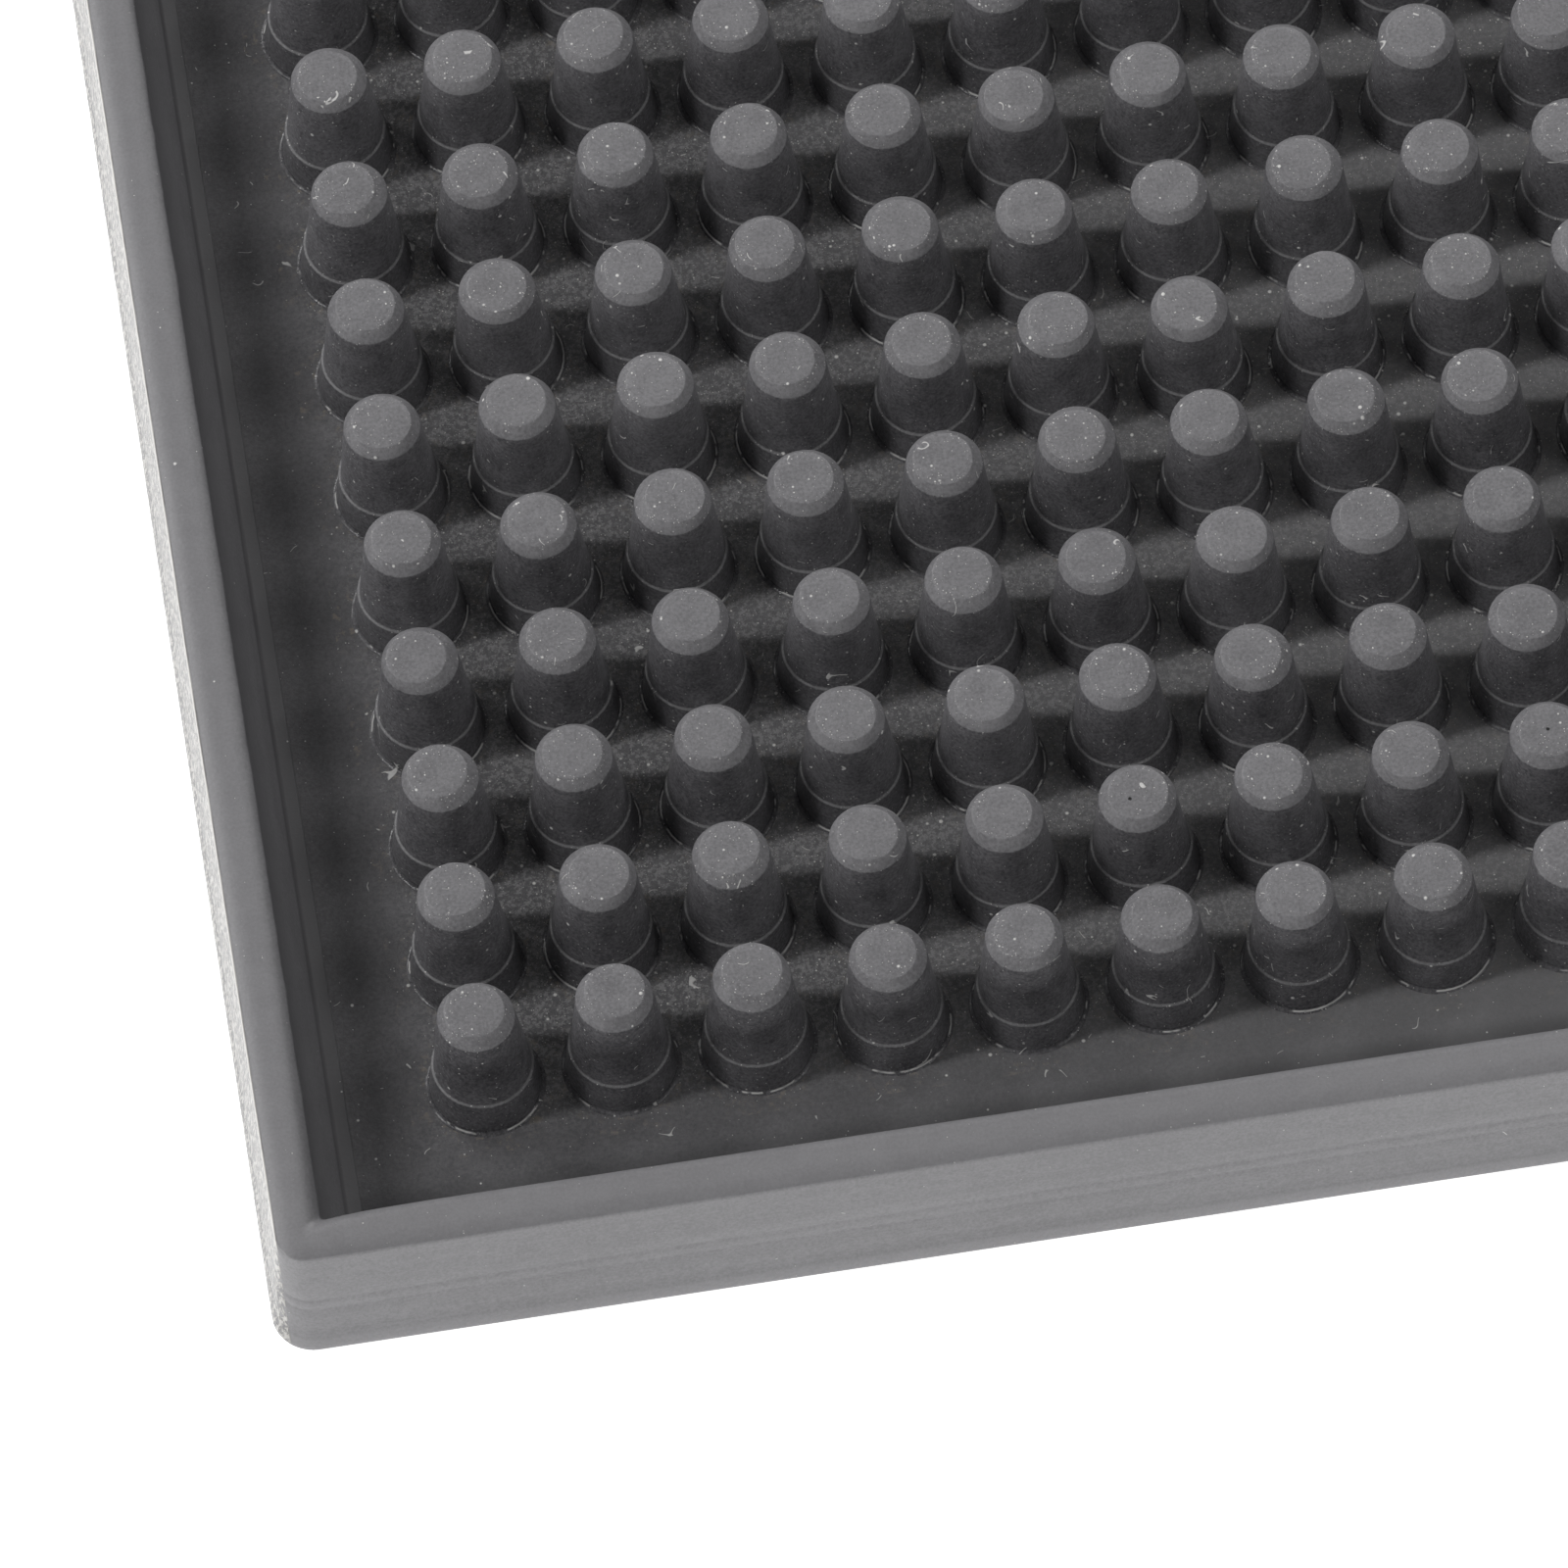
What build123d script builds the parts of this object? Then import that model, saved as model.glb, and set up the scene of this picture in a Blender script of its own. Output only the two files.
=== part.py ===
from build123d import *
import os
from math import radians, tan

# Moulded rubber service mat: a shallow tray whose raised rim surrounds a square grid of tapered pegs.
#
# The mat is one moulding. Its regions are written as separate solids that meet face to face:
# the base sheet, four rim rails mitred at the corners, and one node for each row of pegs.
#
# Millimetres. +Z is up, +X runs along the long side, and the origin is at the centre of the underside.

# Peg grid
PITCH = 7.8  # the same both ways
COLUMNS = 36  # pegs in a row, along X
ROWS = 17  # rows, along Y
MARGIN = 14.0  # from the mat's edge to the centres of the first pegs

# Heights above the underside
HEIGHT = 11.0  # peg tops
RIM_HEIGHT = 9.8  # the rim stands a little lower than the pegs
SHEET_THICKNESS = 2.5  # floor of the tray

# One peg: a foot, a tapered shank above it, and a chamfered top
FOOT_RADIUS = 3.2
FOOT_HEIGHT = 2.55
SHOULDER_RADIUS = 2.92  # where the foot meets the shank
NECK_RADIUS = 2.22  # top of the shank, below the chamfer
TIP_RADIUS = 1.7  # flat face that a glass stands on
TIP_CHAMFER_HEIGHT = 0.6

# Rim section
LIP_WIDTH = 0.15  # thin lip round the bottom of the outer wall
LIP_HEIGHT = 0.8
WALL_DRAFT = 4.0  # degrees that the outer wall leans in
CROWN_HEIGHT = 0.3  # from the sharp line round the outer wall up to the rim's top
CROWN_WIDTH = 1.2  # how far the rim's top slopes inwards before it is level
RIM_TOP_WIDTH = 2.65  # from the sharp line to the edge of the opening
INNER_SLOPE_WIDTH = 1.5  # how far the inner wall leans in on its way down
LEDGE_WIDTH = 1.0  # low step between the inner wall and the floor
LEDGE_HEIGHT = 0.3

# Corner radii in plan
FOOT_CORNER_RADIUS = 2.4  # at the underside
TOP_CORNER_RADIUS = 0.8  # at the level part of the rim's top
INNER_CORNER_RADIUS = 0.3

# Worked out
LENGTH = (COLUMNS - 1) * PITCH + 2 * MARGIN
WIDTH = (ROWS - 1) * PITCH + 2 * MARGIN
LEDGE_TOP = SHEET_THICKNESS + LEDGE_HEIGHT
WALL_TOP = RIM_HEIGHT - CROWN_HEIGHT  # height of the sharp line
WALL_LEAN = WALL_TOP * tan(radians(WALL_DRAFT))
LINE_INSET = LIP_WIDTH + WALL_LEAN
LINE_CORNER_RADIUS = FOOT_CORNER_RADIUS - WALL_LEAN
OPENING_INSET = LINE_INSET + RIM_TOP_WIDTH
LEDGE_INSET = OPENING_INSET + INNER_SLOPE_WIDTH
FLOOR_INSET = LEDGE_INSET + LEDGE_WIDTH

os.makedirs("parts", exist_ok=True)


def outline(inset, radius):
    """Draw the mat's outline, moved inwards by inset, in the sketch that is open."""
    return RectangleRounded(LENGTH - 2 * inset, WIDTH - 2 * inset, radius)


# Base sheet: the flat floor inside the rim
with BuildPart() as base_sheet:
    with BuildSketch(Plane.XY):
        outline(FLOOR_INSET, INNER_CORNER_RADIUS)
    extrude(amount=SHEET_THICKNESS)

base_sheet.part.label = "base_sheet"
export_step(base_sheet.part, "parts/base_sheet.step")

# Rim: one closed frame, cut into four rails below
with BuildPart() as rim:
    # drafted outer wall, and the low crown above the sharp line
    with BuildSketch(Plane.XY):
        outline(LIP_WIDTH, FOOT_CORNER_RADIUS)
    extrude(amount=WALL_TOP, taper=WALL_DRAFT)
    with BuildSketch(Plane.XY.offset(WALL_TOP)):
        outline(LINE_INSET, LINE_CORNER_RADIUS)
    with BuildSketch(Plane.XY.offset(RIM_HEIGHT)):
        outline(LINE_INSET + CROWN_WIDTH, TOP_CORNER_RADIUS)
    loft(ruled=True)
    # lip round the foot of the wall
    with BuildSketch(Plane.XY):
        outline(0, FOOT_CORNER_RADIUS)
    extrude(amount=LIP_HEIGHT)
    # opening of the tray, narrowing downwards to the ledge
    with BuildSketch(Plane.XY.offset(LEDGE_TOP)):
        outline(LEDGE_INSET, INNER_CORNER_RADIUS)
    with BuildSketch(Plane.XY.offset(RIM_HEIGHT)):
        outline(OPENING_INSET, INNER_CORNER_RADIUS)
    loft(ruled=True, mode=Mode.SUBTRACT)
    # room for the base sheet, and the step from the ledge down to the floor
    with BuildSketch(Plane.XY):
        outline(FLOOR_INSET, INNER_CORNER_RADIUS)
    extrude(amount=LEDGE_TOP, mode=Mode.SUBTRACT)

# The mitres run at 45 degrees from each corner to the middle line of the mat
HALF_LENGTH = LENGTH / 2
HALF_WIDTH = WIDTH / 2
MITRE_END = HALF_LENGTH - HALF_WIDTH

FRONT_SECTOR = [
    (-HALF_LENGTH, -HALF_WIDTH),
    (HALF_LENGTH, -HALF_WIDTH),
    (MITRE_END, 0),
    (-MITRE_END, 0),
]
LEFT_SECTOR = [
    (-HALF_LENGTH, -HALF_WIDTH),
    (-MITRE_END, 0),
    (-HALF_LENGTH, HALF_WIDTH),
]
SECTORS = {
    "rim_front": FRONT_SECTOR,
    "rim_back": [(x, -y) for x, y in FRONT_SECTOR],
    "rim_left": LEFT_SECTOR,
    "rim_right": [(-x, y) for x, y in LEFT_SECTOR],
}

for name, sector in SECTORS.items():
    with BuildPart() as rail:
        add(rim.part)
        with BuildSketch(Plane.XY):
            with BuildLine():
                Polyline(*sector, close=True)
            make_face()
        extrude(amount=RIM_HEIGHT, mode=Mode.INTERSECT)
    rail.part.label = name
    export_step(rail.part, f"parts/{name}.step")

# Peg: turned about its own axis, standing on the base sheet
with BuildPart() as peg:
    with BuildSketch(Plane.XZ):
        with BuildLine():
            Polyline(
                (0, SHEET_THICKNESS),
                (FOOT_RADIUS, SHEET_THICKNESS),
                (SHOULDER_RADIUS, SHEET_THICKNESS + FOOT_HEIGHT),
                (NECK_RADIUS, HEIGHT - TIP_CHAMFER_HEIGHT),
                (TIP_RADIUS, HEIGHT),
                (0, HEIGHT),
                close=True,
            )
        make_face()
    revolve(axis=Axis.Z)

# One node for each row of separate pegs, from front to back
FIRST_ROW_Y = -PITCH * (ROWS - 1) / 2

for row in range(ROWS):
    row_y = FIRST_ROW_Y + row * PITCH
    name = f"peg_row_{row + 1:02d}"
    with BuildPart() as peg_row:
        with Locations((0, row_y, 0)):
            with GridLocations(PITCH, PITCH, COLUMNS, 1):
                add(peg.part)
    peg_row.part.label = name
    export_step(peg_row.part, f"parts/{name}.step")
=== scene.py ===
import math
import random

import bpy
from mathutils import Matrix, Vector, noise


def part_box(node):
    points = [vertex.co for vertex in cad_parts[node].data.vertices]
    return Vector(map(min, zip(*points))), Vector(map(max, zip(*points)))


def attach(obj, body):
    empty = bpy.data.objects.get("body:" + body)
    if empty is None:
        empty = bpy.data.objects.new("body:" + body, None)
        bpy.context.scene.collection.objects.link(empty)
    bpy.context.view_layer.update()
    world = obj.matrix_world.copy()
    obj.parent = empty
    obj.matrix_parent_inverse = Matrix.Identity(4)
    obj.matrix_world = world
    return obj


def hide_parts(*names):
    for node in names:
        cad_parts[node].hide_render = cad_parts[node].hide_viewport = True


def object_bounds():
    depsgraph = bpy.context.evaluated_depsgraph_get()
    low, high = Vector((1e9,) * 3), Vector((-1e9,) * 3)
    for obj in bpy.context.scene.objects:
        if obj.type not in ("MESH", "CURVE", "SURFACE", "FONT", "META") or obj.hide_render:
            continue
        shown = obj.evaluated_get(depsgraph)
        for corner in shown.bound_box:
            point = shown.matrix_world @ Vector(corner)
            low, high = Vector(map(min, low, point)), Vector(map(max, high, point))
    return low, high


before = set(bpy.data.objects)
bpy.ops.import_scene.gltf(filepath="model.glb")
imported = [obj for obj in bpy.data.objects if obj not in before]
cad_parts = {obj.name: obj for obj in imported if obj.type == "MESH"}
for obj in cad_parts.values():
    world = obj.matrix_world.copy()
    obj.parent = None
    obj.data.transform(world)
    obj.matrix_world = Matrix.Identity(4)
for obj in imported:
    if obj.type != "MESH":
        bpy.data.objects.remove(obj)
cad_low, cad_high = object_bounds()

# Moulded rubber service mat. Lengths are in millimetres, and become metres where a mesh is made.
MM = 0.001
BODY = "root"
ROWS = 17
COLUMNS = 36

# Camera: where it aims, how it looks there, and how far back it stands
AIM = Vector((-117.3, -50.75, 11.0))
AZIMUTH = 3.87  # degrees towards +X from looking along +Y
ELEVATION = 61.2
ROLL = -5.14
DISTANCE = 1111.0
LENS = 450.0

# One peg, heights above the floor of the tray
PEG_SIDES = 40
FOOT_FILLET = 0.26
FOOT_TOP_RADIUS = 2.94
FOOT_HEIGHT = 2.55
SHANK_RADIUS = 2.79
NECK_RADIUS = 2.22
TIP_RADIUS = 1.7
TIP_CHAMFER = 0.6
SKIRT = 0.06  # how far a peg reaches into the floor

# How the pegs differ. Each spread is a standard deviation, of a slope for the lean.
SEED = 700
HEIGHT_SPREAD = 0.02
LEAN_SPREAD = 0.011
TIP_SPREAD = 0.09
FIRST_TIP_SHIFT = (-0.12, 0.1)  # of all the tips in the first column

# Rim section, as insets from the mat's outline and heights above the underside
LIP_HEIGHT = 1.3
LIP_INSET = 0.15
CROWN_HEIGHT = 0.3  # from the sharp line round the outer wall up to the rim's top
CROWN_WIDTH = 1.2
LINE_INSET = 0.814
EDGE_WIDTH = 0.65  # rounding of the opening's edge
EDGE_ANGLE = 40.0
SOFT_EDGE_WIDTH = 1.35  # the same near the corners, where it is softer
SOFT_EDGE_ANGLE = 62.0
SOFT_REACH = 11.0  # how far that reaches along a side, and less along the front and back
SOFT_REACH_SHORT = 2.0
OPENING_INSET = 3.464
LEDGE_INSET = 4.964
LEDGE_HEIGHT = 0.3
FLOOR_INSET = 5.964
FOOT_CORNER_RADIUS = 2.4
LINE_CORNER_RADIUS = 1.736
INNER_RADIUS = 0.3
CORNER_STEPS = 10
MOULD_LINES = (4.2, 5.2)  # heights of two faint grooves round the outer wall
MOULD_LINE_DEPTH = 0.028
MOULD_LINE_REACH = 0.16
SIDE_STEP = 1.0
RAGGED = 0.15  # roughness of the sharp line on the two short sides
RAGGED_REACH = 0.25

# How uneven the parts of the rim are
LIP_WAVE = 0.01
WALL_WAVE = 0.015
EDGE_WAVE = 0.02
INNER_WAVE = 0.03
CREASE_WAVE = 0.05  # at the sharp line

# Floor of the tray
FLOOR_STEP = 1.3
FLOOR_WAVE = 0.018
FLOOR_DROP = 0.01  # how far its mean level is under the CAD floor's
FLOOR_OVERLAP = 0.02  # how far it reaches into the rim

FLOOR_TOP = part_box("base_sheet")[1].z / MM
MAT_TOP = cad_high.z / MM
RIM_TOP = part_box("rim_front")[1].z / MM
LINE_HEIGHT = RIM_TOP - CROWN_HEIGHT
HALF_LENGTH = cad_high.x / MM
HALF_WIDTH = cad_high.y / MM

first_low, first_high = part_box("peg_row_01")
last_low, last_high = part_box(f"peg_row_{ROWS:02d}")
FIRST_Y = (first_low.y + first_high.y) / 2 / MM
FIRST_X = first_low.x / MM + (first_high.y - first_low.y) / 2 / MM
PITCH = ((last_low.y + last_high.y) / 2 / MM - FIRST_Y) / (ROWS - 1)


def new_mesh(name, vertices, faces, smooth_angle):
    """Make a mesh object from points in millimetres, smooth but for edges sharper than the angle."""
    mesh = bpy.data.meshes.new(name)
    mesh.from_pydata([[c * MM for c in v] for v in vertices], [], faces)
    mesh.validate()
    mesh.update()
    obj = bpy.data.objects.new(name, mesh)
    bpy.context.scene.collection.objects.link(obj)
    mesh.shade_smooth()
    mesh.set_sharp_from_angle(angle=math.radians(smooth_angle))
    return obj


# ---------------------------------------------------------------- pegs


def arc(centre, radius, start, end, steps):
    """Points on an arc in the (radius, height) plane, angles in degrees."""
    points = []
    for k in range(steps + 1):
        angle = math.radians(start + (end - start) * k / steps)
        points.append((centre[0] + radius * math.cos(angle), centre[1] + radius * math.sin(angle)))
    return points


def peg_profile(foot_radius, height):
    """The peg's outline from below the floor up to the edge of its flat tip."""
    chamfer_foot = height - TIP_CHAMFER
    points = [(foot_radius + FOOT_FILLET, -SKIRT)]
    points += arc((foot_radius + FOOT_FILLET, FOOT_FILLET), FOOT_FILLET, 270, 185, 4)
    points += [
        # rounded edge of the foot, and the narrow ledge to the shank
        (FOOT_TOP_RADIUS + 0.01, FOOT_HEIGHT - 0.08),
        (FOOT_TOP_RADIUS - 0.01, FOOT_HEIGHT - 0.03),
        (FOOT_TOP_RADIUS - 0.05, FOOT_HEIGHT),
        (SHANK_RADIUS + 0.03, FOOT_HEIGHT + 0.015),
        (SHANK_RADIUS, FOOT_HEIGHT + 0.06),
        ((SHANK_RADIUS + NECK_RADIUS) / 2, (FOOT_HEIGHT + chamfer_foot) / 2),
        # rounded neck, and the chamfer up to the rounded edge of the flat
        (NECK_RADIUS + 0.012, chamfer_foot - 0.08),
        (NECK_RADIUS - 0.01, chamfer_foot - 0.015),
        (NECK_RADIUS - 0.045, chamfer_foot + 0.04),
        (TIP_RADIUS + 0.05, height - 0.055),
        (TIP_RADIUS + 0.01, height - 0.015),
        (TIP_RADIUS - 0.04, height),
        (TIP_RADIUS * 0.55, height),
    ]
    return points


def add_peg(vertices, faces, x, y, foot_radius, first_column, dice):
    """Append one peg, each slightly different, to a list of vertices and faces."""
    height = MAT_TOP - FLOOR_TOP - abs(dice.gauss(0, HEIGHT_SPREAD))
    lean = (dice.gauss(0, LEAN_SPREAD), dice.gauss(0, LEAN_SPREAD))
    tip_shift = (dice.gauss(0, TIP_SPREAD), dice.gauss(0, TIP_SPREAD))
    if first_column:
        tip_shift = (tip_shift[0] + FIRST_TIP_SHIFT[0], tip_shift[1] + FIRST_TIP_SHIFT[1])
    turn = dice.uniform(0, 2 * math.pi / PEG_SIDES)
    profile = peg_profile(foot_radius, height)
    first = len(vertices)
    for radius, level in profile:
        tip = max(0.0, (level - (height - TIP_CHAMFER)) / TIP_CHAMFER)
        rise = max(0.0, level)
        centre_x = x + lean[0] * rise + tip_shift[0] * tip
        centre_y = y + lean[1] * rise + tip_shift[1] * tip
        for side in range(PEG_SIDES):
            angle = turn + 2 * math.pi * side / PEG_SIDES
            side_x = centre_x + radius * math.cos(angle)
            side_y = centre_y + radius * math.sin(angle)
            vertices.append((side_x, side_y, FLOOR_TOP + level))
    rings = len(profile)
    for ring in range(rings - 1):
        for side in range(PEG_SIDES):
            a = first + ring * PEG_SIDES + side
            b = first + ring * PEG_SIDES + (side + 1) % PEG_SIDES
            faces.append((a, b, b + PEG_SIDES, a + PEG_SIDES))
    # flat bottom, hidden in the floor, and the middle of the tip
    faces.append(tuple(first + side for side in reversed(range(PEG_SIDES))))
    last = first + (rings - 1) * PEG_SIDES
    middle = len(vertices)
    middle_x = x + lean[0] * height + tip_shift[0]
    middle_y = y + lean[1] * height + tip_shift[1]
    vertices.append((middle_x, middle_y, FLOOR_TOP + height))
    for side in range(PEG_SIDES):
        faces.append((last + side, last + (side + 1) % PEG_SIDES, middle))


def make_peg_row(number):
    """One row of separate pegs, standing where the CAD row stands."""
    node = f"peg_row_{number:02d}"
    low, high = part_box(node)
    foot_radius = (high.y - low.y) / 2 / MM
    y = (high.y + low.y) / 2 / MM
    first_x = low.x / MM + foot_radius
    last_x = high.x / MM - foot_radius
    dice = random.Random(SEED + number)
    vertices, faces = [], []
    for column in range(COLUMNS):
        x = first_x + (last_x - first_x) * column / (COLUMNS - 1)
        add_peg(vertices, faces, x, y, foot_radius, column == 0, dice)
    row = new_mesh(f"pegs_{number:02d}", vertices, faces, smooth_angle=50.0)
    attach(row, BODY)
    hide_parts(node)
    return row


# ---------------------------------------------------------------- rim and floor


def outline(inset, radius):
    """Points round the mat, inset from its outline. Every call gives the same number of points."""
    half_x = HALF_LENGTH - inset
    half_y = HALF_WIDTH - inset
    corners = [(1, -1, -90), (1, 1, 0), (-1, 1, 90), (-1, -1, 180)]
    steps_y = round(2 * HALF_WIDTH / SIDE_STEP)
    steps_x = round(2 * HALF_LENGTH / SIDE_STEP)
    points = []
    for index, (sx, sy, start) in enumerate(corners):
        cx = sx * (half_x - radius)
        cy = sy * (half_y - radius)
        for k in range(CORNER_STEPS + 1):
            angle = math.radians(start + 90 * k / CORNER_STEPS)
            points.append((cx + radius * math.cos(angle), cy + radius * math.sin(angle)))
        nx, ny, next_start = corners[(index + 1) % 4]
        end_angle = math.radians(next_start)
        end = (
            nx * (half_x - radius) + radius * math.cos(end_angle),
            ny * (half_y - radius) + radius * math.sin(end_angle),
        )
        begin = points[-1]
        steps = steps_y if index % 2 == 0 else steps_x
        for k in range(1, steps):
            t = k / steps
            points.append((begin[0] + (end[0] - begin[0]) * t, begin[1] + (end[1] - begin[1]) * t))
    return points


def wall_inset(height):
    """How far in the drafted outer wall stands at a height."""
    return LIP_INSET + (LINE_INSET - LIP_INSET) * height / LINE_HEIGHT


def wall_radius(height):
    """The corner radius of the drafted outer wall at a height."""
    return FOOT_CORNER_RADIUS + (LINE_CORNER_RADIUS - FOOT_CORNER_RADIUS) * height / LINE_HEIGHT


def bend(start, corner, end, steps):
    """A smooth curve from start to end, pulled towards the corner."""
    points = []
    for k in range(steps + 1):
        t = k / steps
        a, b, c = (1 - t) ** 2, 2 * t * (1 - t), t ** 2
        points.append(tuple(a * p + b * q + c * r for p, q, r in zip(start, corner, end)))
    return points


def rim_section(edge_width, edge_angle):
    """(inset, height, corner radius, waviness), from the inside bottom edge out and over."""
    foot = FOOT_CORNER_RADIUS
    # underside, and the lip round the foot of the wall
    section = [
        (FLOOR_INSET, 0.0, INNER_RADIUS, 0.0),
        (0.3, 0.0, foot - 0.3, 0.0),
        (0.1, 0.02, foot - 0.1, 0.0),
        (0.04, 0.07, foot, 0.0),
        (0.02, 0.18, foot, 0.0),
        (0.035, 0.4, foot, 0.0),
        (0.09, 0.75, foot, 0.0),
        (0.17, 1.08, foot - 0.05, LIP_WAVE),
        (wall_inset(LIP_HEIGHT + 0.15), LIP_HEIGHT + 0.15, wall_radius(LIP_HEIGHT), LIP_WAVE),
    ]
    # outer wall, with two faint mould lines half way up
    for height in (2.3, 3.2):
        section.append((wall_inset(height), height, wall_radius(height), WALL_WAVE))
    for line in MOULD_LINES:
        inset = wall_inset(line)
        radius = wall_radius(line)
        section.append((inset, line - MOULD_LINE_REACH, radius, WALL_WAVE))
        section.append((inset + MOULD_LINE_DEPTH, line - 0.02, radius, WALL_WAVE))
        section.append((inset, line + MOULD_LINE_REACH, radius, WALL_WAVE))
    for height in (6.4, 7.5, 8.4):
        section.append((wall_inset(height), height, wall_radius(height), WALL_WAVE))
    # crown: an arc that is level on top and tilts outwards down to the line
    tilt = 2 * math.atan(CROWN_HEIGHT / CROWN_WIDTH)
    crown_radius = CROWN_WIDTH / math.sin(tilt)
    crown = []
    for k in range(8):
        angle = tilt * (0.88 - 0.88 * k / 7)
        inset = LINE_INSET + CROWN_WIDTH - crown_radius * math.sin(angle)
        height = RIM_TOP - crown_radius * (1 - math.cos(angle))
        crown.append((inset, height, 1.3 - 0.1 * k, WALL_WAVE))
    # the sharp line below it, very slightly rounded
    start = (wall_inset(LINE_HEIGHT - 0.3), LINE_HEIGHT - 0.3, LINE_CORNER_RADIUS, EDGE_WAVE)
    corner = (LINE_INSET - 0.02, LINE_HEIGHT + 0.02, LINE_CORNER_RADIUS, CREASE_WAVE)
    section += bend(start, corner, crown[0], 5)
    section += crown[1:]
    # level top and the rounded edge of the opening
    edge_radius = edge_width / math.sin(math.radians(edge_angle))
    section.append((OPENING_INSET - edge_width - 0.05, RIM_TOP, 0.5, 0.0))
    for k in range(7):
        angle = math.radians(edge_angle) * k / 6
        inset = OPENING_INSET - edge_width + edge_radius * math.sin(angle)
        height = RIM_TOP - edge_radius * (1 - math.cos(angle))
        section.append((inset, height, INNER_RADIUS + 0.1, EDGE_WAVE))
    edge_foot = section[-1][1]
    section.append((OPENING_INSET + 0.03, edge_foot - 0.06, INNER_RADIUS, EDGE_WAVE))
    # inner wall, hollowed towards its foot, and the low ledge
    ledge_top = FLOOR_TOP + LEDGE_HEIGHT
    wall_start = OPENING_INSET + 0.05
    wall_top = edge_foot - 0.16
    wall_foot = ledge_top + 0.35
    for k in range(9):
        t = k / 9
        inset = wall_start + (LEDGE_INSET - wall_start) * t ** 1.7
        section.append((inset, wall_top + (wall_foot - wall_top) * t, INNER_RADIUS, INNER_WAVE))
    section += [
        (LEDGE_INSET + 0.02, ledge_top + 0.25, INNER_RADIUS, EDGE_WAVE),
        (LEDGE_INSET + 0.13, ledge_top + 0.09, INNER_RADIUS, EDGE_WAVE),
        (LEDGE_INSET + 0.3, ledge_top, INNER_RADIUS, EDGE_WAVE),
        (FLOOR_INSET - 0.12, ledge_top - 0.01, INNER_RADIUS, INNER_WAVE),
        (FLOOR_INSET - 0.03, ledge_top - 0.05, INNER_RADIUS, INNER_WAVE),
        (FLOOR_INSET, ledge_top - 0.14, INNER_RADIUS, INNER_WAVE),
        (FLOOR_INSET, FLOOR_TOP - 0.1, INNER_RADIUS, 0.0),
    ]
    return section


def softness(x, y, on_side):
    """1 at the corners of the opening, fading away from them along its sides."""
    if on_side:
        return math.exp(-max(0.0, HALF_WIDTH - OPENING_INSET - abs(y)) / SOFT_REACH)
    return math.exp(-max(0.0, HALF_LENGTH - OPENING_INSET - abs(x)) / SOFT_REACH_SHORT)


def unevenness(x, y, height):
    """Slow and quick waves of the moulded surface together, as a number round 0."""
    slow = noise.noise(Vector((x * 0.05, y * 0.05, height * 0.2)))
    quick = noise.noise(Vector((x * 0.5, y * 0.5, 7.0 + height * 0.4)))
    return 0.7 * slow + 0.5 * quick


def make_rim():
    """One continuous moulded rim, swept round the mat. Its inner edge is softer near the corners."""
    crisp = rim_section(EDGE_WIDTH, EDGE_ANGLE)
    soft = rim_section(SOFT_EDGE_WIDTH, SOFT_EDGE_ANGLE)
    vertices, faces = [], []
    for (inset, height, radius, wave), (soft_inset, soft_height, _, _) in zip(crisp, soft):
        soft_points = outline(soft_inset, radius)
        for index, (x, y) in enumerate(outline(inset, radius)):
            soft_x, soft_y = soft_points[index]
            on_side = abs(x) - HALF_LENGTH > abs(y) - HALF_WIDTH
            soft_share = softness(x, y, on_side)
            shift = wave * unevenness(x, y, height)
            moved_x = x + (soft_x - x) * soft_share
            moved_y = y + (soft_y - y) * soft_share
            moved_height = height + (soft_height - height) * soft_share
            if on_side:
                near_line = max(0.0, 1.0 - abs(height - LINE_HEIGHT) / RAGGED_REACH)
                ragged = noise.noise(Vector((x, y * 1.1, height * 3.0)))
                moved_x -= math.copysign(shift + RAGGED * near_line * ragged, x)
            else:
                moved_y -= math.copysign(shift, y)
            vertices.append((moved_x, moved_y, moved_height))
    loop = len(outline(0.0, 1.0))
    rings = len(crisp)
    for ring in range(rings):
        here = ring * loop
        there = (ring + 1) % rings * loop
        for k in range(loop):
            n = (k + 1) % loop
            faces.append((here + k, here + n, there + n, there + k))
    rim = new_mesh("rim", vertices, faces, smooth_angle=40.0)
    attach(rim, BODY)
    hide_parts("rim_front", "rim_back", "rim_left", "rim_right")
    return rim


def make_floor_sheet():
    """The tray's floor: a closed slab with a very slightly uneven top."""
    half_x = HALF_LENGTH - FLOOR_INSET + FLOOR_OVERLAP
    half_y = HALF_WIDTH - FLOOR_INSET + FLOOR_OVERLAP
    count_x = round(2 * half_x / FLOOR_STEP)
    count_y = round(2 * half_y / FLOOR_STEP)
    vertices, faces = [], []
    for j in range(count_y + 1):
        for i in range(count_x + 1):
            x = -half_x + 2 * half_x * i / count_x
            y = -half_y + 2 * half_y * j / count_y
            uneven = FLOOR_WAVE * noise.noise(Vector((x * 0.18, y * 0.18, 3.0)))
            vertices.append((x, y, FLOOR_TOP + uneven - FLOOR_DROP))
    across = count_x + 1
    for j in range(count_y):
        for i in range(count_x):
            a = j * across + i
            faces.append((a, a + 1, a + 1 + across, a + across))
    # edge of the top, walked round counter-clockwise, then the sides and the underside
    edge = list(range(count_x + 1))
    edge += [j * across + count_x for j in range(1, count_y + 1)]
    edge += [count_y * across + i for i in reversed(range(count_x))]
    edge += [j * across for j in reversed(range(1, count_y))]
    start = len(vertices)
    for index in edge:
        x, y = vertices[index][:2]
        vertices.append((x, y, 0.0))
    total = len(edge)
    for k in range(total):
        n = (k + 1) % total
        faces.append((edge[n], edge[k], start + k, start + n))
    faces.append(tuple(start + k for k in reversed(range(total))))
    sheet = new_mesh("floor_sheet", vertices, faces, smooth_angle=40.0)
    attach(sheet, BODY)
    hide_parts("base_sheet")
    return sheet


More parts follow.
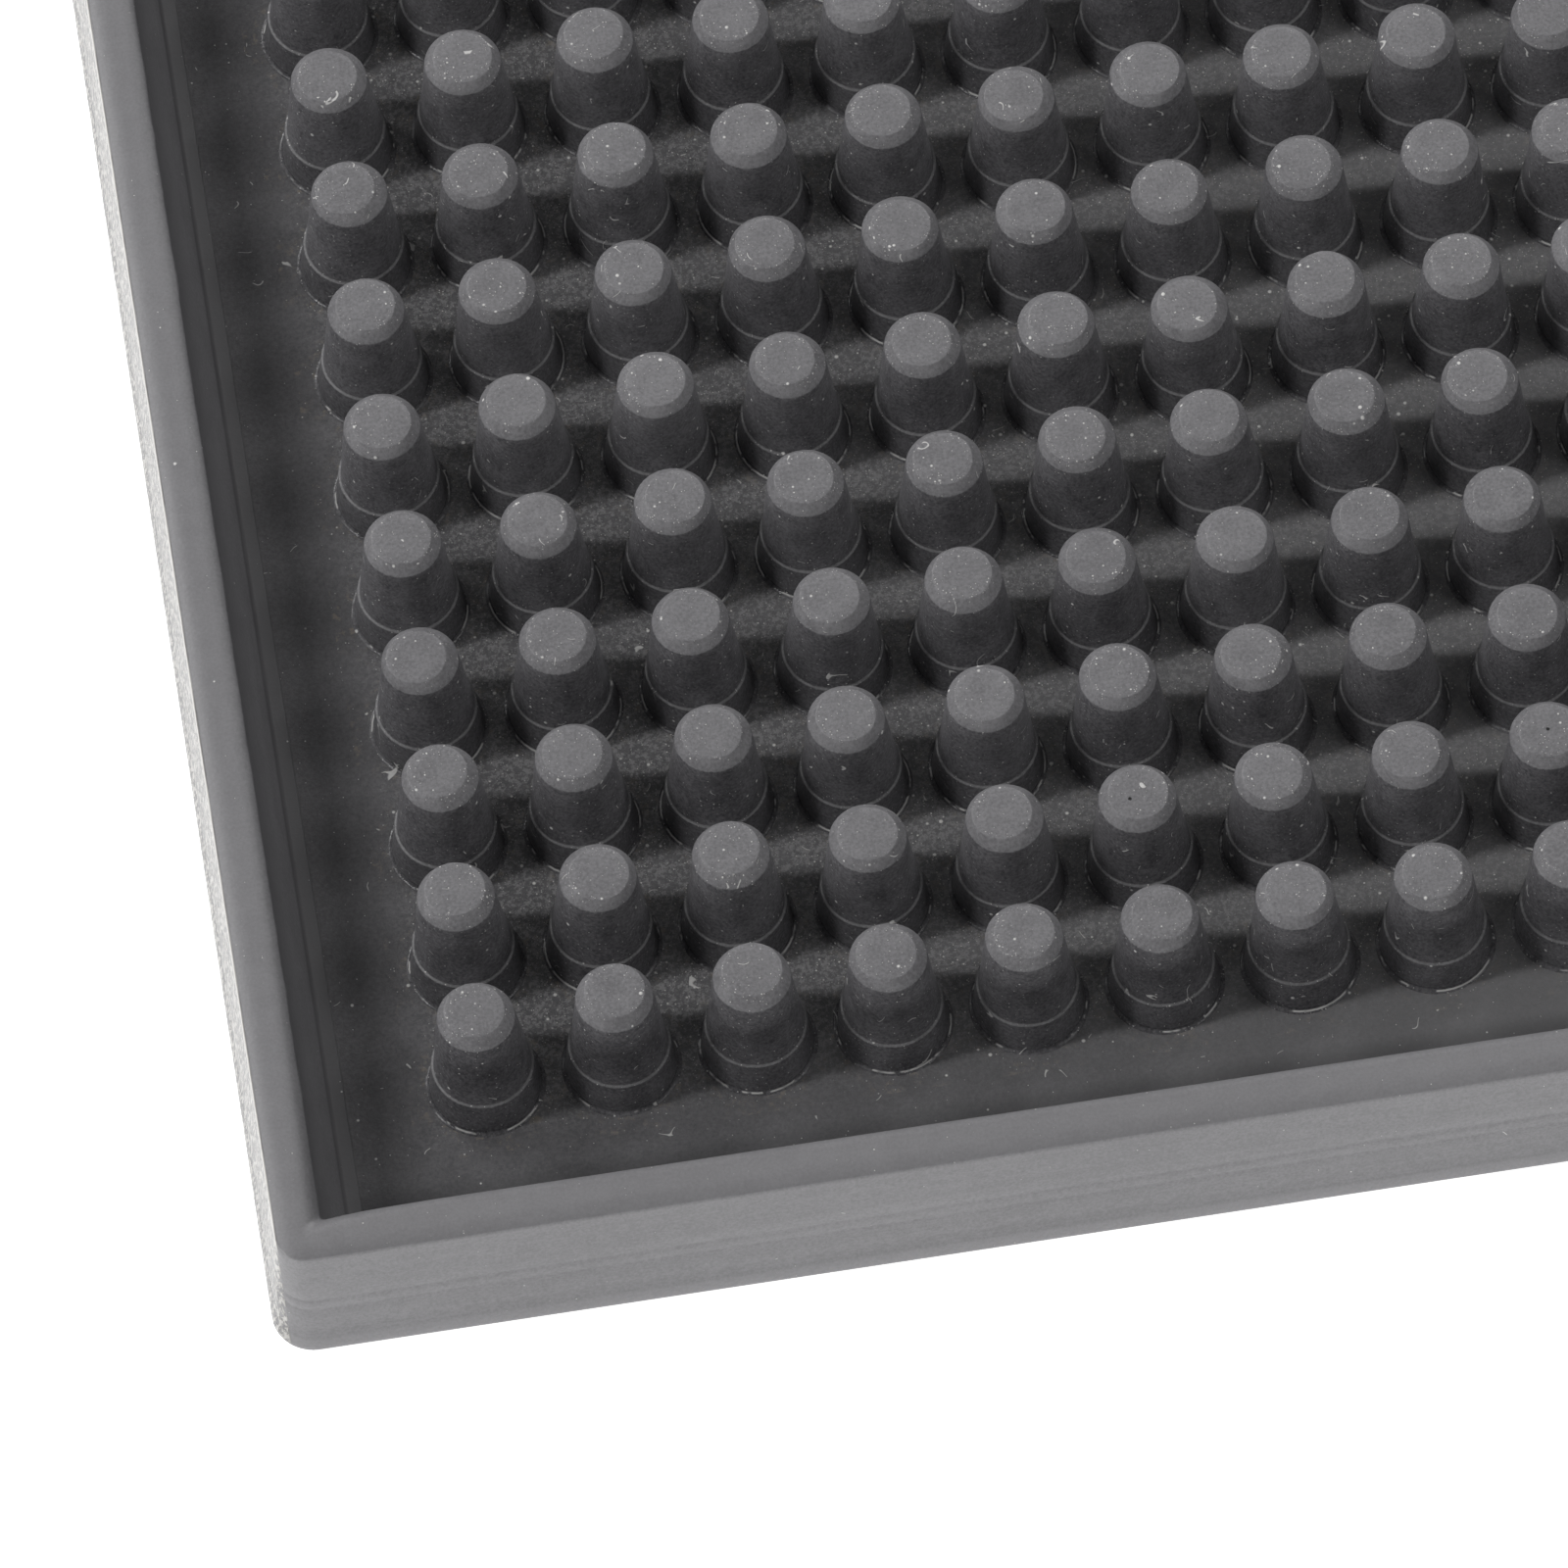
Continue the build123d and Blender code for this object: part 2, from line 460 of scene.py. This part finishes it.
pegs = [make_peg_row(number) for number in range(1, ROWS + 1)]
rim = make_rim()
floor_sheet = make_floor_sheet()


# ---------------------------------------------------------------- materials

# Dark and light ends of the rubber's tone, in each region
PEG_DARK = (0.074, 0.072, 0.078)
PEG_LIGHT = (0.222, 0.219, 0.229)
TIP_DARK = (0.158, 0.155, 0.163)
TIP_LIGHT = (0.270, 0.266, 0.277)
RIM_DARK = (0.160, 0.157, 0.164)
RIM_LIGHT = (0.230, 0.227, 0.236)
FLOOR_DARK = (0.110, 0.108, 0.114)
FLOOR_LIGHT = (0.178, 0.175, 0.183)

# Colours that lie over it
RIM_WORN = (0.340, 0.335, 0.348)  # level top and lip
RIM_INSIDE_SHADE = (0.100, 0.098, 0.103)  # painted shade inside the opening and along its edge
RIM_SIDE = (0.700, 0.680, 0.640)  # pale crust and painted light on the outer walls of the short sides
HAZE_AND_LIGHT = (0.270, 0.268, 0.272)  # thin film of dust on the floor, and painted light that grows away from the short sides
PAINTED_RIM_SHADE = (0.060, 0.059, 0.062)  # painted shade on the floor beside the long rims
DEBRIS = (0.36, 0.31, 0.24)
# pale grit on the floor, and the painted highlight along the pegs' shoulders
GRIT_AND_HIGHLIGHT = (0.36, 0.357, 0.358)
# pale dust and lint, also painted glints along the edges of the tips
DUST_AND_GLINTS = (0.88, 0.87, 0.85)
# painted shade in the pinholes
PINHOLE_SHADE = (0.01, 0.01, 0.01)

# How much of them there is, from 0 to 1
TOP_WEAR = 0.36
EDGE_WEAR = 0.22  # beside the edge of the opening
LIP_WEAR = 0.30
CRUST_AND_LIGHT = 0.60  # outer walls of the short sides, and the sharp line above them: pale crust and painted light
LINE_CRUST_AND_LIGHT = 0.75
# painted shade on the level top beside the opening's edge
EDGE_SHADE = 0.12
SHADE_UNDER_EDGE = 0.72  # painted shade on the inner wall, just under the edge and at its foot
SHADE_AT_FOOT = 0.10
SHADE_ON_LEDGE = 0.85
BLOTCHES = 0.30
RING_HAZE = 0.6
# painted light on the floor, growing away from the short sides
INLAND_LIGHT = 0.62
# strength of the painted shade beside the long rims
RIM_SHADE_AMOUNT = 0.55
CRUMB_COVER = 0.55
# painted highlight along the pegs' shoulders
SHOULDER_HIGHLIGHT = 0.3
GRIT_BESIDE_RIM = 0.10
GRIT_AMONG_PEGS = 0.72
FIBRE_COVER = 0.8
FILLET_FLECK_COVER = 0.9
DUST_AND_GLINT_COVER = 0.95

# Dust specks, with painted glints among them: cells per millimetre, radius in millimetres, and amount
# beside the finest ones
SPECKS = [(6.0, 0.032, 1.0), (3.0, 0.050, 0.8), (1.5, 0.095, 0.8)]
SMALLEST_DOT = 0.5  # of the radius
DOT_SOFTNESS = 0.6
WALL_SPECKS = 0.45  # on walls, as a share of a region's specks, and on level surfaces
LEVEL_SPECKS = 1.45
RING_SPECKS = 0.20  # added round the feet of the pegs, and everywhere among them
AMONG_SPECKS = 0.40

# Weights of the slow, cloudy and fine changes in the rubber's tone
SLOW_TONE = 0.18
CLOUDY_TONE = 0.22
GRAIN_TONE = 0.60

# Roughness
SMOOTHEST = 0.38
ROUGHEST = 0.52
HAZE_ROUGHNESS = 0.4
DUST_ROUGHNESS = 0.3
FILLET_GLOSS = 0.24
SIDE_ROUGHNESS = 0.68  # outer walls of the short sides, as a share of the rest
RUBBER_IOR = 1.5

# Heights of the relief, in millimetres
CLOUDY_RELIEF = 0.020
DUST_RELIEF = 0.03
WEAR_RELIEF = 0.16
PIT_DEPTH = 0.15

# Pinholes in peg tips: column and row counted from 0, and the place on the tip in millimetres
PINHOLES = [(5, 1, -0.6, -0.4), (8, 1, 0.05, 0.05)]
PINHOLE_RADIUS = 0.09


class Nodes:
    """Short ways to add shader nodes to one material, and where the point is, in millimetres."""

    def __init__(self, name):
        self.material = bpy.data.materials.new(name)
        self.material.use_nodes = True
        self.tree = self.material.node_tree
        self.shader = self.tree.nodes["Principled BSDF"]
        place = self.add("ShaderNodeTexCoord")
        self.point = self.stretched(place.outputs["Object"], 1 / MM, 1 / MM, 1 / MM)
        parts = self.add("ShaderNodeSeparateXYZ")
        self.link(self.point, parts.inputs[0])
        self.x = parts.outputs["X"]
        self.y = parts.outputs["Y"]
        self.z = parts.outputs["Z"]
        self.level = self.facing_up()

    def add(self, kind):
        return self.tree.nodes.new(kind)

    def link(self, value, socket):
        """Feed a shader output or a plain number to a socket."""
        if isinstance(value, (int, float)):
            socket.default_value = value
        else:
            self.tree.links.new(value, socket)

    def math(self, operation, a, b=0.0, c=0.0):
        node = self.add("ShaderNodeMath")
        node.operation = operation
        for socket, value in zip(node.inputs, (a, b, c)):
            self.link(value, socket)
        return node.outputs[0]

    def times(self, a, b):
        return self.math("MULTIPLY", a, b)

    def times_plus(self, a, b, c):
        return self.math("MULTIPLY_ADD", a, b, c)

    def minus(self, a, b):
        return self.math("SUBTRACT", a, b)

    def larger(self, a, b):
        return self.math("MAXIMUM", a, b)

    def absolute(self, value):
        return self.math("ABSOLUTE", value)

    def between(self, value, at_0, at_1):
        """A number that goes from at_0 to at_1 as the value goes from 0 to 1."""
        return self.times_plus(value, at_1 - at_0, at_0)

    def smooth(self, value, start, end):
        """0 at start and 1 at end, with a soft step between. start may be above end."""
        node = self.add("ShaderNodeMapRange")
        node.interpolation_type = "SMOOTHSTEP"
        self.link(value, node.inputs["Value"])
        node.inputs["From Min"].default_value = min(start, end)
        node.inputs["From Max"].default_value = max(start, end)
        if start > end:
            node.inputs["To Min"].default_value = 1.0
            node.inputs["To Max"].default_value = 0.0
        return node.outputs["Result"]

    def facing_up(self):
        """1 on level surfaces, 0 on walls."""
        geometry = self.add("ShaderNodeNewGeometry")
        parts = self.add("ShaderNodeSeparateXYZ")
        self.link(geometry.outputs["Normal"], parts.inputs[0])
        return self.smooth(parts.outputs["Z"], 0.3, 0.95)

    def stretched(self, vector, x, y, z):
        node = self.add("ShaderNodeVectorMath")
        node.operation = "MULTIPLY"
        self.link(vector, node.inputs[0])
        node.inputs[1].default_value = (x, y, z)
        return node.outputs[0]

    def noise(self, scale, detail, roughness=0.5, stretch=None):
        """Noise: cells per millimetre, and how many times closer they lie along X, Y and Z."""
        vector = self.stretched(self.point, *stretch) if stretch else self.point
        node = self.add("ShaderNodeTexNoise")
        self.link(vector, node.inputs["Vector"])
        node.inputs["Scale"].default_value = scale
        node.inputs["Detail"].default_value = detail
        node.inputs["Roughness"].default_value = roughness
        return node.outputs["Fac"]

    def dots(self, scale, radius, share):
        """Small round dots: cells per millimetre, radius in millimetres, share of cells with one."""
        node = self.add("ShaderNodeTexVoronoi")
        self.link(self.point, node.inputs["Vector"])
        node.inputs["Scale"].default_value = scale
        draw = self.add("ShaderNodeSeparateColor")
        self.link(node.outputs["Color"], draw.inputs[0])
        reach = radius * scale
        dot = self.times_plus(draw.outputs["Green"], reach, reach * SMALLEST_DOT)
        inside = self.minus(dot, node.outputs["Distance"])
        inside = self.math("DIVIDE", inside, reach * DOT_SOFTNESS)
        inside = self.math("MINIMUM", self.larger(inside, 0.0), 1.0)
        kept = self.math("LESS_THAN", draw.outputs["Red"], share)
        return self.times(inside, kept)

    def mix(self, factor, a, b):
        node = self.add("ShaderNodeMix")
        node.data_type = "RGBA"
        self.link(factor, node.inputs["Factor"])
        for value, socket in ((a, node.inputs["A"]), (b, node.inputs["B"])):
            if isinstance(value, tuple):
                socket.default_value = value + (1.0,)
            else:
                self.tree.links.new(value, socket)
        return node.outputs["Result"]


class Look:
    """The layers of one rubber surface, each a number or a shader output, and 0 where it has none."""

    def __init__(self, tone, colour, specks):
        self.tone = tone
        self.colour = colour
        self.specks = specks  # share of cells with a dust speck
        # dust on the floor, and painted light away from the short sides
        self.haze_and_light = 0.0
        # painted shade on the floor beside the long rims
        self.seam = 0.0
        self.fillet_flecks = 0.0  # pale flecks in the fillet round a peg
        self.hole = 0.0
        self.gloss = 0.0
        self.polish = 0.0
        # pale crust and painted light on the short sides' outer walls
        self.crust_and_light = 0.0


def lint(nodes, share):
    """Short thin curled fibres: pieces of a contour line of a noise, where a second noise is high."""
    line = nodes.absolute(nodes.minus(nodes.noise(0.42, 1.0), 0.5))
    line = nodes.smooth(line, 0.008, 0.003)
    where = nodes.smooth(nodes.noise(0.9, 0.0), 1.0 - share, 1.0 - share + 0.02)
    return nodes.times(line, where)


def from_peg(nodes):
    """Distance in millimetres from the middle of the nearest peg."""
    parts = []
    for value, first in ((nodes.x, FIRST_X), (nodes.y, FIRST_Y)):
        steps = nodes.math("DIVIDE", nodes.minus(value, first), PITCH)
        offset = nodes.minus(steps, nodes.math("ROUND", steps))
        parts.append(nodes.times(offset, PITCH))
    squares = nodes.times(parts[0], parts[0])
    squares = nodes.times_plus(parts[1], parts[1], squares)
    return nodes.math("SQRT", squares)


def pits(nodes):
    """Pinholes in the tips of a few pegs, as 1 in the hole."""
    found = 0.0
    for column, row, across, along in PINHOLES:
        dx = nodes.minus(nodes.x, FIRST_X + column * PITCH + across)
        dy = nodes.minus(nodes.y, FIRST_Y + row * PITCH + along)
        squares = nodes.times_plus(dy, dy, nodes.times(dx, dx))
        hole = nodes.smooth(squares, PINHOLE_RADIUS ** 2 * 1.6, PINHOLE_RADIUS ** 2 * 0.6)
        found = nodes.larger(hole, found)
    on_top = nodes.smooth(nodes.z, MAT_TOP - 0.5, MAT_TOP - 0.4)
    return nodes.times(found, on_top)


def outside_opening(nodes):
    """How far the point is outside the edge of the opening, negative inside it."""
    across = nodes.minus(nodes.absolute(nodes.x), HALF_LENGTH - OPENING_INSET)
    along = nodes.minus(nodes.absolute(nodes.y), HALF_WIDTH - OPENING_INSET)
    return nodes.larger(across, along)


def among_pegs(nodes):
    """1 on the floor among the pegs, fading to 0 just outside their outer rows and columns."""
    across = nodes.minus(-FIRST_X, nodes.absolute(nodes.x))
    along = nodes.minus(-FIRST_Y, nodes.absolute(nodes.y))
    return nodes.smooth(nodes.math("MINIMUM", across, along), -4.5, 0.5)


def side_walls(nodes):
    """1 on the outer walls of the short sides, and their pale crust with painted light, densest at
    the sharp line.
    """
    line_x = HALF_LENGTH - LINE_INSET
    outer = nodes.smooth(nodes.absolute(nodes.x), line_x - 0.12, line_x)
    crust = nodes.smooth(nodes.noise(3.2, 2.0, 0.6, stretch=(1.0, 1.0, 0.6)), 0.42, 0.56)
    line = nodes.smooth(nodes.z, LINE_HEIGHT - 0.9, LINE_HEIGHT - 0.3)
    crust_and_light = nodes.larger(nodes.times(crust, CRUST_AND_LIGHT), nodes.times(line, LINE_CRUST_AND_LIGHT))
    return outer, nodes.times(crust_and_light, outer)


def add_peg_details(nodes, look):
    """Paler tips with dust and painted glints, a few pinholes with painted shade in them, a painted
    highlight along the shoulder, and pale flecks round the foot.
    """
    tip_foot = MAT_TOP - TIP_CHAMFER
    on_tip = nodes.smooth(nodes.z, tip_foot - 0.06, tip_foot + 0.01)
    # most of the tip's specks, dust and painted glints, lie along the edge of its flat, and some tips
    # have more than others
    from_edge = nodes.absolute(nodes.minus(from_peg(nodes), TIP_RADIUS - 0.12))
    at_edge = nodes.smooth(from_edge, 0.34, 0.05)
    patches = nodes.smooth(nodes.noise(0.19, 1.0), 0.35, 0.65)
    tip_dust_and_glints = nodes.between(at_edge, 0.26, 1.06)
    tip_dust_and_glints = nodes.times(tip_dust_and_glints, nodes.between(patches, 0.35, 1.25))
    look.specks = nodes.times(look.specks, nodes.minus(1.0, on_tip))
    look.specks = nodes.times_plus(tip_dust_and_glints, on_tip, look.specks)
    look.colour = nodes.mix(on_tip, look.colour, nodes.mix(look.tone, TIP_DARK, TIP_LIGHT))
    look.hole = pits(nodes)
    # painted highlight: a pale line along the shoulder's narrow ledge
    from_shoulder = nodes.absolute(nodes.minus(nodes.z, FLOOR_TOP + FOOT_HEIGHT + 0.01))
    shoulder_highlight = nodes.times(nodes.smooth(from_shoulder, 0.10, 0.02), SHOULDER_HIGHLIGHT)
    look.colour = nodes.mix(shoulder_highlight, look.colour, GRIT_AND_HIGHLIGHT)
    look.gloss = nodes.smooth(nodes.z, FLOOR_TOP + 0.45, FLOOR_TOP + 0.2)
    # pale flecks in patches along the fillet round a peg's foot
    some = nodes.smooth(nodes.noise(0.33, 3.0, 0.7), 0.53, 0.58)
    in_fillet = nodes.absolute(nodes.minus(nodes.z, FLOOR_TOP + 0.07))
    look.fillet_flecks = nodes.times(some, nodes.smooth(in_fillet, 0.05, 0.02))


def add_rim_details(nodes, look):
    """Worn level top and lip, pale crust and painted light on the outer walls of the short sides, and
    painted shade inside the opening and along its edge.
    """
    outside = outside_opening(nodes)
    inside = nodes.smooth(outside, 0.02, -0.10)
    near_edge = nodes.smooth(outside, 0.9, 0.0)
    ledge_top = FLOOR_TOP + LEDGE_HEIGHT
    depth = nodes.smooth(nodes.z, RIM_TOP, FLOOR_TOP + 1.2)
    on_ledge = nodes.smooth(nodes.z, ledge_top + 0.5, ledge_top + 0.2)
    # painted shade on the inner wall and ledge, darkest just under the edge and on the ledge
    inside_shade = nodes.between(depth, SHADE_UNDER_EDGE, SHADE_AT_FOOT)
    inside_shade = nodes.larger(inside_shade, nodes.times(on_ledge, SHADE_ON_LEDGE))
    worn = nodes.times(nodes.level, nodes.between(near_edge, TOP_WEAR, EDGE_WEAR))
    lip = nodes.times(nodes.smooth(nodes.z, 1.25, 0.85), LIP_WEAR)
    worn = nodes.times(nodes.larger(worn, lip), nodes.minus(1.0, inside))
    look.colour = nodes.mix(worn, look.colour, RIM_WORN)
    # painted shade along the opening's edge and inside it
    look.colour = nodes.mix(nodes.times(near_edge, EDGE_SHADE), look.colour, RIM_INSIDE_SHADE)
    look.colour = nodes.mix(nodes.times(inside_shade, inside), look.colour, RIM_INSIDE_SHADE)
    # pale crust and painted light on the short sides' outer walls
    look.polish, look.crust_and_light = side_walls(nodes)
    look.colour = nodes.mix(look.crust_and_light, look.colour, RIM_SIDE)


def add_floor_details(nodes, look):
    """Grit among the pegs, dust and crumbs round their feet, painted light that grows away from the
    short sides, and painted shade beside the long rims.
    """
    among = among_pegs(nodes)
    ring = nodes.smooth(from_peg(nodes), 4.7, 3.4)
    ring = nodes.times(ring, nodes.smooth(nodes.noise(1.1, 3.0, 0.6), 0.40, 0.62))
    ring = nodes.times(ring, nodes.math("GREATER_THAN", among, 0.0))
    # the film of dust is blotchy and thicker round the pegs; painted light makes the floor paler
    # towards the middle of the mat, away from the short sides
    blotch = nodes.smooth(nodes.noise(1.7, 4.0, 0.7), 0.42, 0.66)
    haze_and_light = nodes.times(nodes.times(blotch, BLOTCHES), nodes.level)
    haze_and_light = nodes.larger(haze_and_light, nodes.times(ring, RING_HAZE))
    # painted light: the floor grows paler away from the short sides
    inland = nodes.minus(HALF_LENGTH - FLOOR_INSET, nodes.absolute(nodes.x))
    haze_and_light = nodes.times(haze_and_light, nodes.smooth(inland, -5.0, 60.0))
    inland_light = nodes.smooth(inland, 4.0, 85.0)
    look.haze_and_light = nodes.larger(haze_and_light, nodes.times(inland_light, INLAND_LIGHT))
    look.specks = nodes.times_plus(ring, RING_SPECKS, look.specks)
    look.specks = nodes.times_plus(among, AMONG_SPECKS, look.specks)
    grit = nodes.smooth(nodes.noise(4.2, 3.0, 0.75), 0.46, 0.60)
    grit = nodes.times(grit, nodes.between(among, GRIT_BESIDE_RIM, GRIT_AMONG_PEGS))
    look.colour = nodes.mix(grit, look.colour, GRIT_AND_HIGHLIGHT)
    crumbs = nodes.times(nodes.smooth(nodes.noise(2.6, 3.0, 0.7), 0.52, 0.62), ring)
    look.colour = nodes.mix(nodes.times(crumbs, CRUMB_COVER), look.colour, DEBRIS)
    # painted shade: the floor darkens in a strip beside the long rims
    from_rim = nodes.minus(HALF_WIDTH - FLOOR_INSET, nodes.absolute(nodes.y))
    look.seam = nodes.times(nodes.smooth(from_rim, 2.7, 1.2), RIM_SHADE_AMOUNT)


def make_rubber(name, dark, light, add_details, specks, fibres, grain_relief, streaks=0.0):
    """Satin charcoal rubber with grain, slow tone changes, dust with painted glints, lint and one
    region's details.
    """
    nodes = Nodes(name)
    slow = nodes.noise(0.07, 2.0)
    cloudy = nodes.noise(0.8, 3.0)
    grain = nodes.noise(5.0, 2.0, 0.7)
    tone = nodes.times(slow, SLOW_TONE)
    tone = nodes.times_plus(cloudy, CLOUDY_TONE, tone)
    tone = nodes.times_plus(grain, GRAIN_TONE, tone)
    if streaks:
        flow = nodes.noise(1.0, 4.0, 0.65, stretch=(0.03, 0.03, 2.2))
        tone = nodes.times_plus(nodes.minus(flow, 0.5), streaks, tone)
    tone = nodes.smooth(tone, 0.30, 0.70)
    speck_share = nodes.between(nodes.level, specks * WALL_SPECKS, specks * LEVEL_SPECKS)
    look = Look(tone, nodes.mix(tone, dark, light), speck_share)
    add_details(nodes, look)

    # pale specks and lint: dust, with painted glints on the tips
    dust = nodes.times(lint(nodes, fibres), FIBRE_COVER)
    for scale, radius, amount in SPECKS:
        dots = nodes.dots(scale, radius, nodes.times(look.specks, amount))
        dust = nodes.larger(dust, dots)
    dust = nodes.larger(dust, nodes.times(look.fillet_flecks, FILLET_FLECK_COVER))

    # dust haze and painted light on the floor
    colour = nodes.mix(look.haze_and_light, look.colour, HAZE_AND_LIGHT)
    # painted shade beside the long rims
    colour = nodes.mix(look.seam, colour, PAINTED_RIM_SHADE)
    colour = nodes.mix(nodes.times(dust, DUST_AND_GLINT_COVER), colour, DUST_AND_GLINTS)
    # painted shade in the pinholes
    colour = nodes.mix(look.hole, colour, PINHOLE_SHADE)
    nodes.link(colour, nodes.shader.inputs["Base Color"])

    rough = nodes.between(cloudy, SMOOTHEST, ROUGHEST)
    rough = nodes.times_plus(look.haze_and_light, HAZE_ROUGHNESS, rough)
    rough = nodes.times_plus(dust, DUST_ROUGHNESS, rough)
    rough = nodes.minus(rough, nodes.times(look.gloss, FILLET_GLOSS))
    rough = nodes.times(rough, nodes.between(look.polish, 1.0, SIDE_ROUGHNESS))
    nodes.link(rough, nodes.shader.inputs["Roughness"])
    nodes.shader.inputs["IOR"].default_value = RUBBER_IOR

    height = nodes.times(grain, grain_relief)
    height = nodes.times_plus(cloudy, CLOUDY_RELIEF, height)
    height = nodes.times_plus(dust, DUST_RELIEF, height)
    height = nodes.times_plus(look.crust_and_light, WEAR_RELIEF, height)
    height = nodes.minus(height, nodes.times(look.hole, PIT_DEPTH))
    bump = nodes.add("ShaderNodeBump")
    bump.inputs["Strength"].default_value = 1.0
    bump.inputs["Distance"].default_value = MM
    nodes.link(height, bump.inputs["Height"])
    nodes.link(bump.outputs["Normal"], nodes.shader.inputs["Normal"])
    return nodes.material


peg_rubber = make_rubber(
    "rubber_pegs", PEG_DARK, PEG_LIGHT, add_peg_details,
    specks=0.30, fibres=0.27, grain_relief=0.030,
)
rim_rubber = make_rubber(
    "rubber_rim", RIM_DARK, RIM_LIGHT, add_rim_details,
    specks=0.012, fibres=0.16, grain_relief=0.016, streaks=0.20,
)
floor_rubber = make_rubber(
    "rubber_floor", FLOOR_DARK, FLOOR_LIGHT, add_floor_details,
    specks=0.025, fibres=0.25, grain_relief=0.030,
)
for row in pegs:
    row.data.materials.append(peg_rubber)
rim.data.materials.append(rim_rubber)
floor_sheet.data.materials.append(floor_rubber)


# ---------------------------------------------------------------- camera, floor and light


def make_camera():
    """A long lens far away, so that lines hardly converge."""
    azimuth = math.radians(AZIMUTH)
    elevation = math.radians(ELEVATION)
    roll = math.radians(ROLL)
    reach = math.cos(elevation)
    forward = Vector((math.sin(azimuth) * reach, math.cos(azimuth) * reach, -math.sin(elevation)))
    level = forward.cross(Vector((0, 0, 1))).normalized()
    upright = level.cross(forward)
    right = math.cos(roll) * level + math.sin(roll) * upright
    up = right.cross(forward)
    turn = Matrix((right, up, -forward)).transposed()
    data = bpy.data.cameras.new("camera")
    data.lens = LENS
    data.sensor_width = 36.0
    data.clip_start = 0.01
    data.clip_end = 20.0
    camera = bpy.data.objects.new("camera", data)
    camera.matrix_world = turn.to_4x4()
    camera.location = (AIM - forward * DISTANCE) * MM
    bpy.context.scene.collection.objects.link(camera)
    bpy.context.scene.camera = camera


GROUND_HALF = 6.0  # metres
GROUND_GLOW = 0.9
WORLD_GLOW = 0.024


def make_ground():
    """A plain white floor that gives light itself, so that no shadow shows on it."""
    half = GROUND_HALF
    corners = [(-half, -half, 0), (half, -half, 0), (half, half, 0), (-half, half, 0)]
    mesh = bpy.data.meshes.new("ground")
    mesh.from_pydata(corners, [], [(0, 1, 2, 3)])
    ground = bpy.data.objects.new("ground", mesh)
    bpy.context.scene.collection.objects.link(ground)
    material = bpy.data.materials.new("ground_white")
    material.use_nodes = True
    shader = material.node_tree.nodes["Principled BSDF"]
    shader.inputs["Base Color"].default_value = (0.8, 0.8, 0.8, 1)
    shader.inputs["Roughness"].default_value = 0.9
    shader.inputs["Emission Color"].default_value = (1, 1, 1, 1)
    shader.inputs["Emission Strength"].default_value = GROUND_GLOW
    mesh.materials.append(material)


# Soft light panels: name, the bearing and height in degrees that the light comes from (0 is +X and
# 90 is +Y), distance, width and height in metres, and strength on a surface that faces it
PANELS = [
    ("left_high", 180, 51, 1.4, 0.10, 0.35, 0.185),
    ("left_low", 180, 24, 1.4, 0.16, 0.7, 0.15),
    ("right", 352, 50, 0.75, 0.34, 0.30, 0.135),
    ("back_left", 130, 30, 1.5, 0.9, 0.45, 0.40),
    ("back_right", 62, 30, 1.5, 0.6, 0.45, 0.26),
    ("top", 80, 72, 1.6, 0.6, 0.6, 0.03),
    ("front_left", 232, 34, 1.5, 0.25, 0.25, 0.048),
    ("front_right", 305, 34, 1.5, 0.25, 0.25, 0.048),
    ("low_front", 265, 7, 1.5, 1.6, 0.22, 0.20),
]


def make_panel(name, bearing, height, distance, width, tall, strength):
    """One area light that faces the part of the mat that the camera looks at."""
    bearing = math.radians(bearing)
    height = math.radians(height)
    target = Vector((AIM.x * MM, AIM.y * MM, 0.0))
    reach = math.cos(height)
    direction = Vector((math.cos(bearing) * reach, math.sin(bearing) * reach, math.sin(height)))
    data = bpy.data.lights.new(f"panel_{name}", "AREA")
    data.shape = "RECTANGLE"
    data.size = width
    data.size_y = tall
    data.energy = math.pi ** 2 * strength * distance ** 2
    panel = bpy.data.objects.new(f"panel_{name}", data)
    panel.location = target + direction * distance
    panel.rotation_mode = "QUATERNION"
    panel.rotation_quaternion = direction.to_track_quat("Z", "Y")
    panel.visible_camera = False
    bpy.context.scene.collection.objects.link(panel)


make_camera()
make_ground()
for settings in PANELS:
    make_panel(*settings)

world = bpy.data.worlds.new("studio")
bpy.context.scene.world = world
world.use_nodes = True
background = world.node_tree.nodes["Background"]
background.inputs["Color"].default_value = (1, 1, 1, 1)
background.inputs["Strength"].default_value = WORLD_GLOW

scene = bpy.context.scene
scene.view_settings.view_transform = "Standard"
scene.view_settings.look = "None"
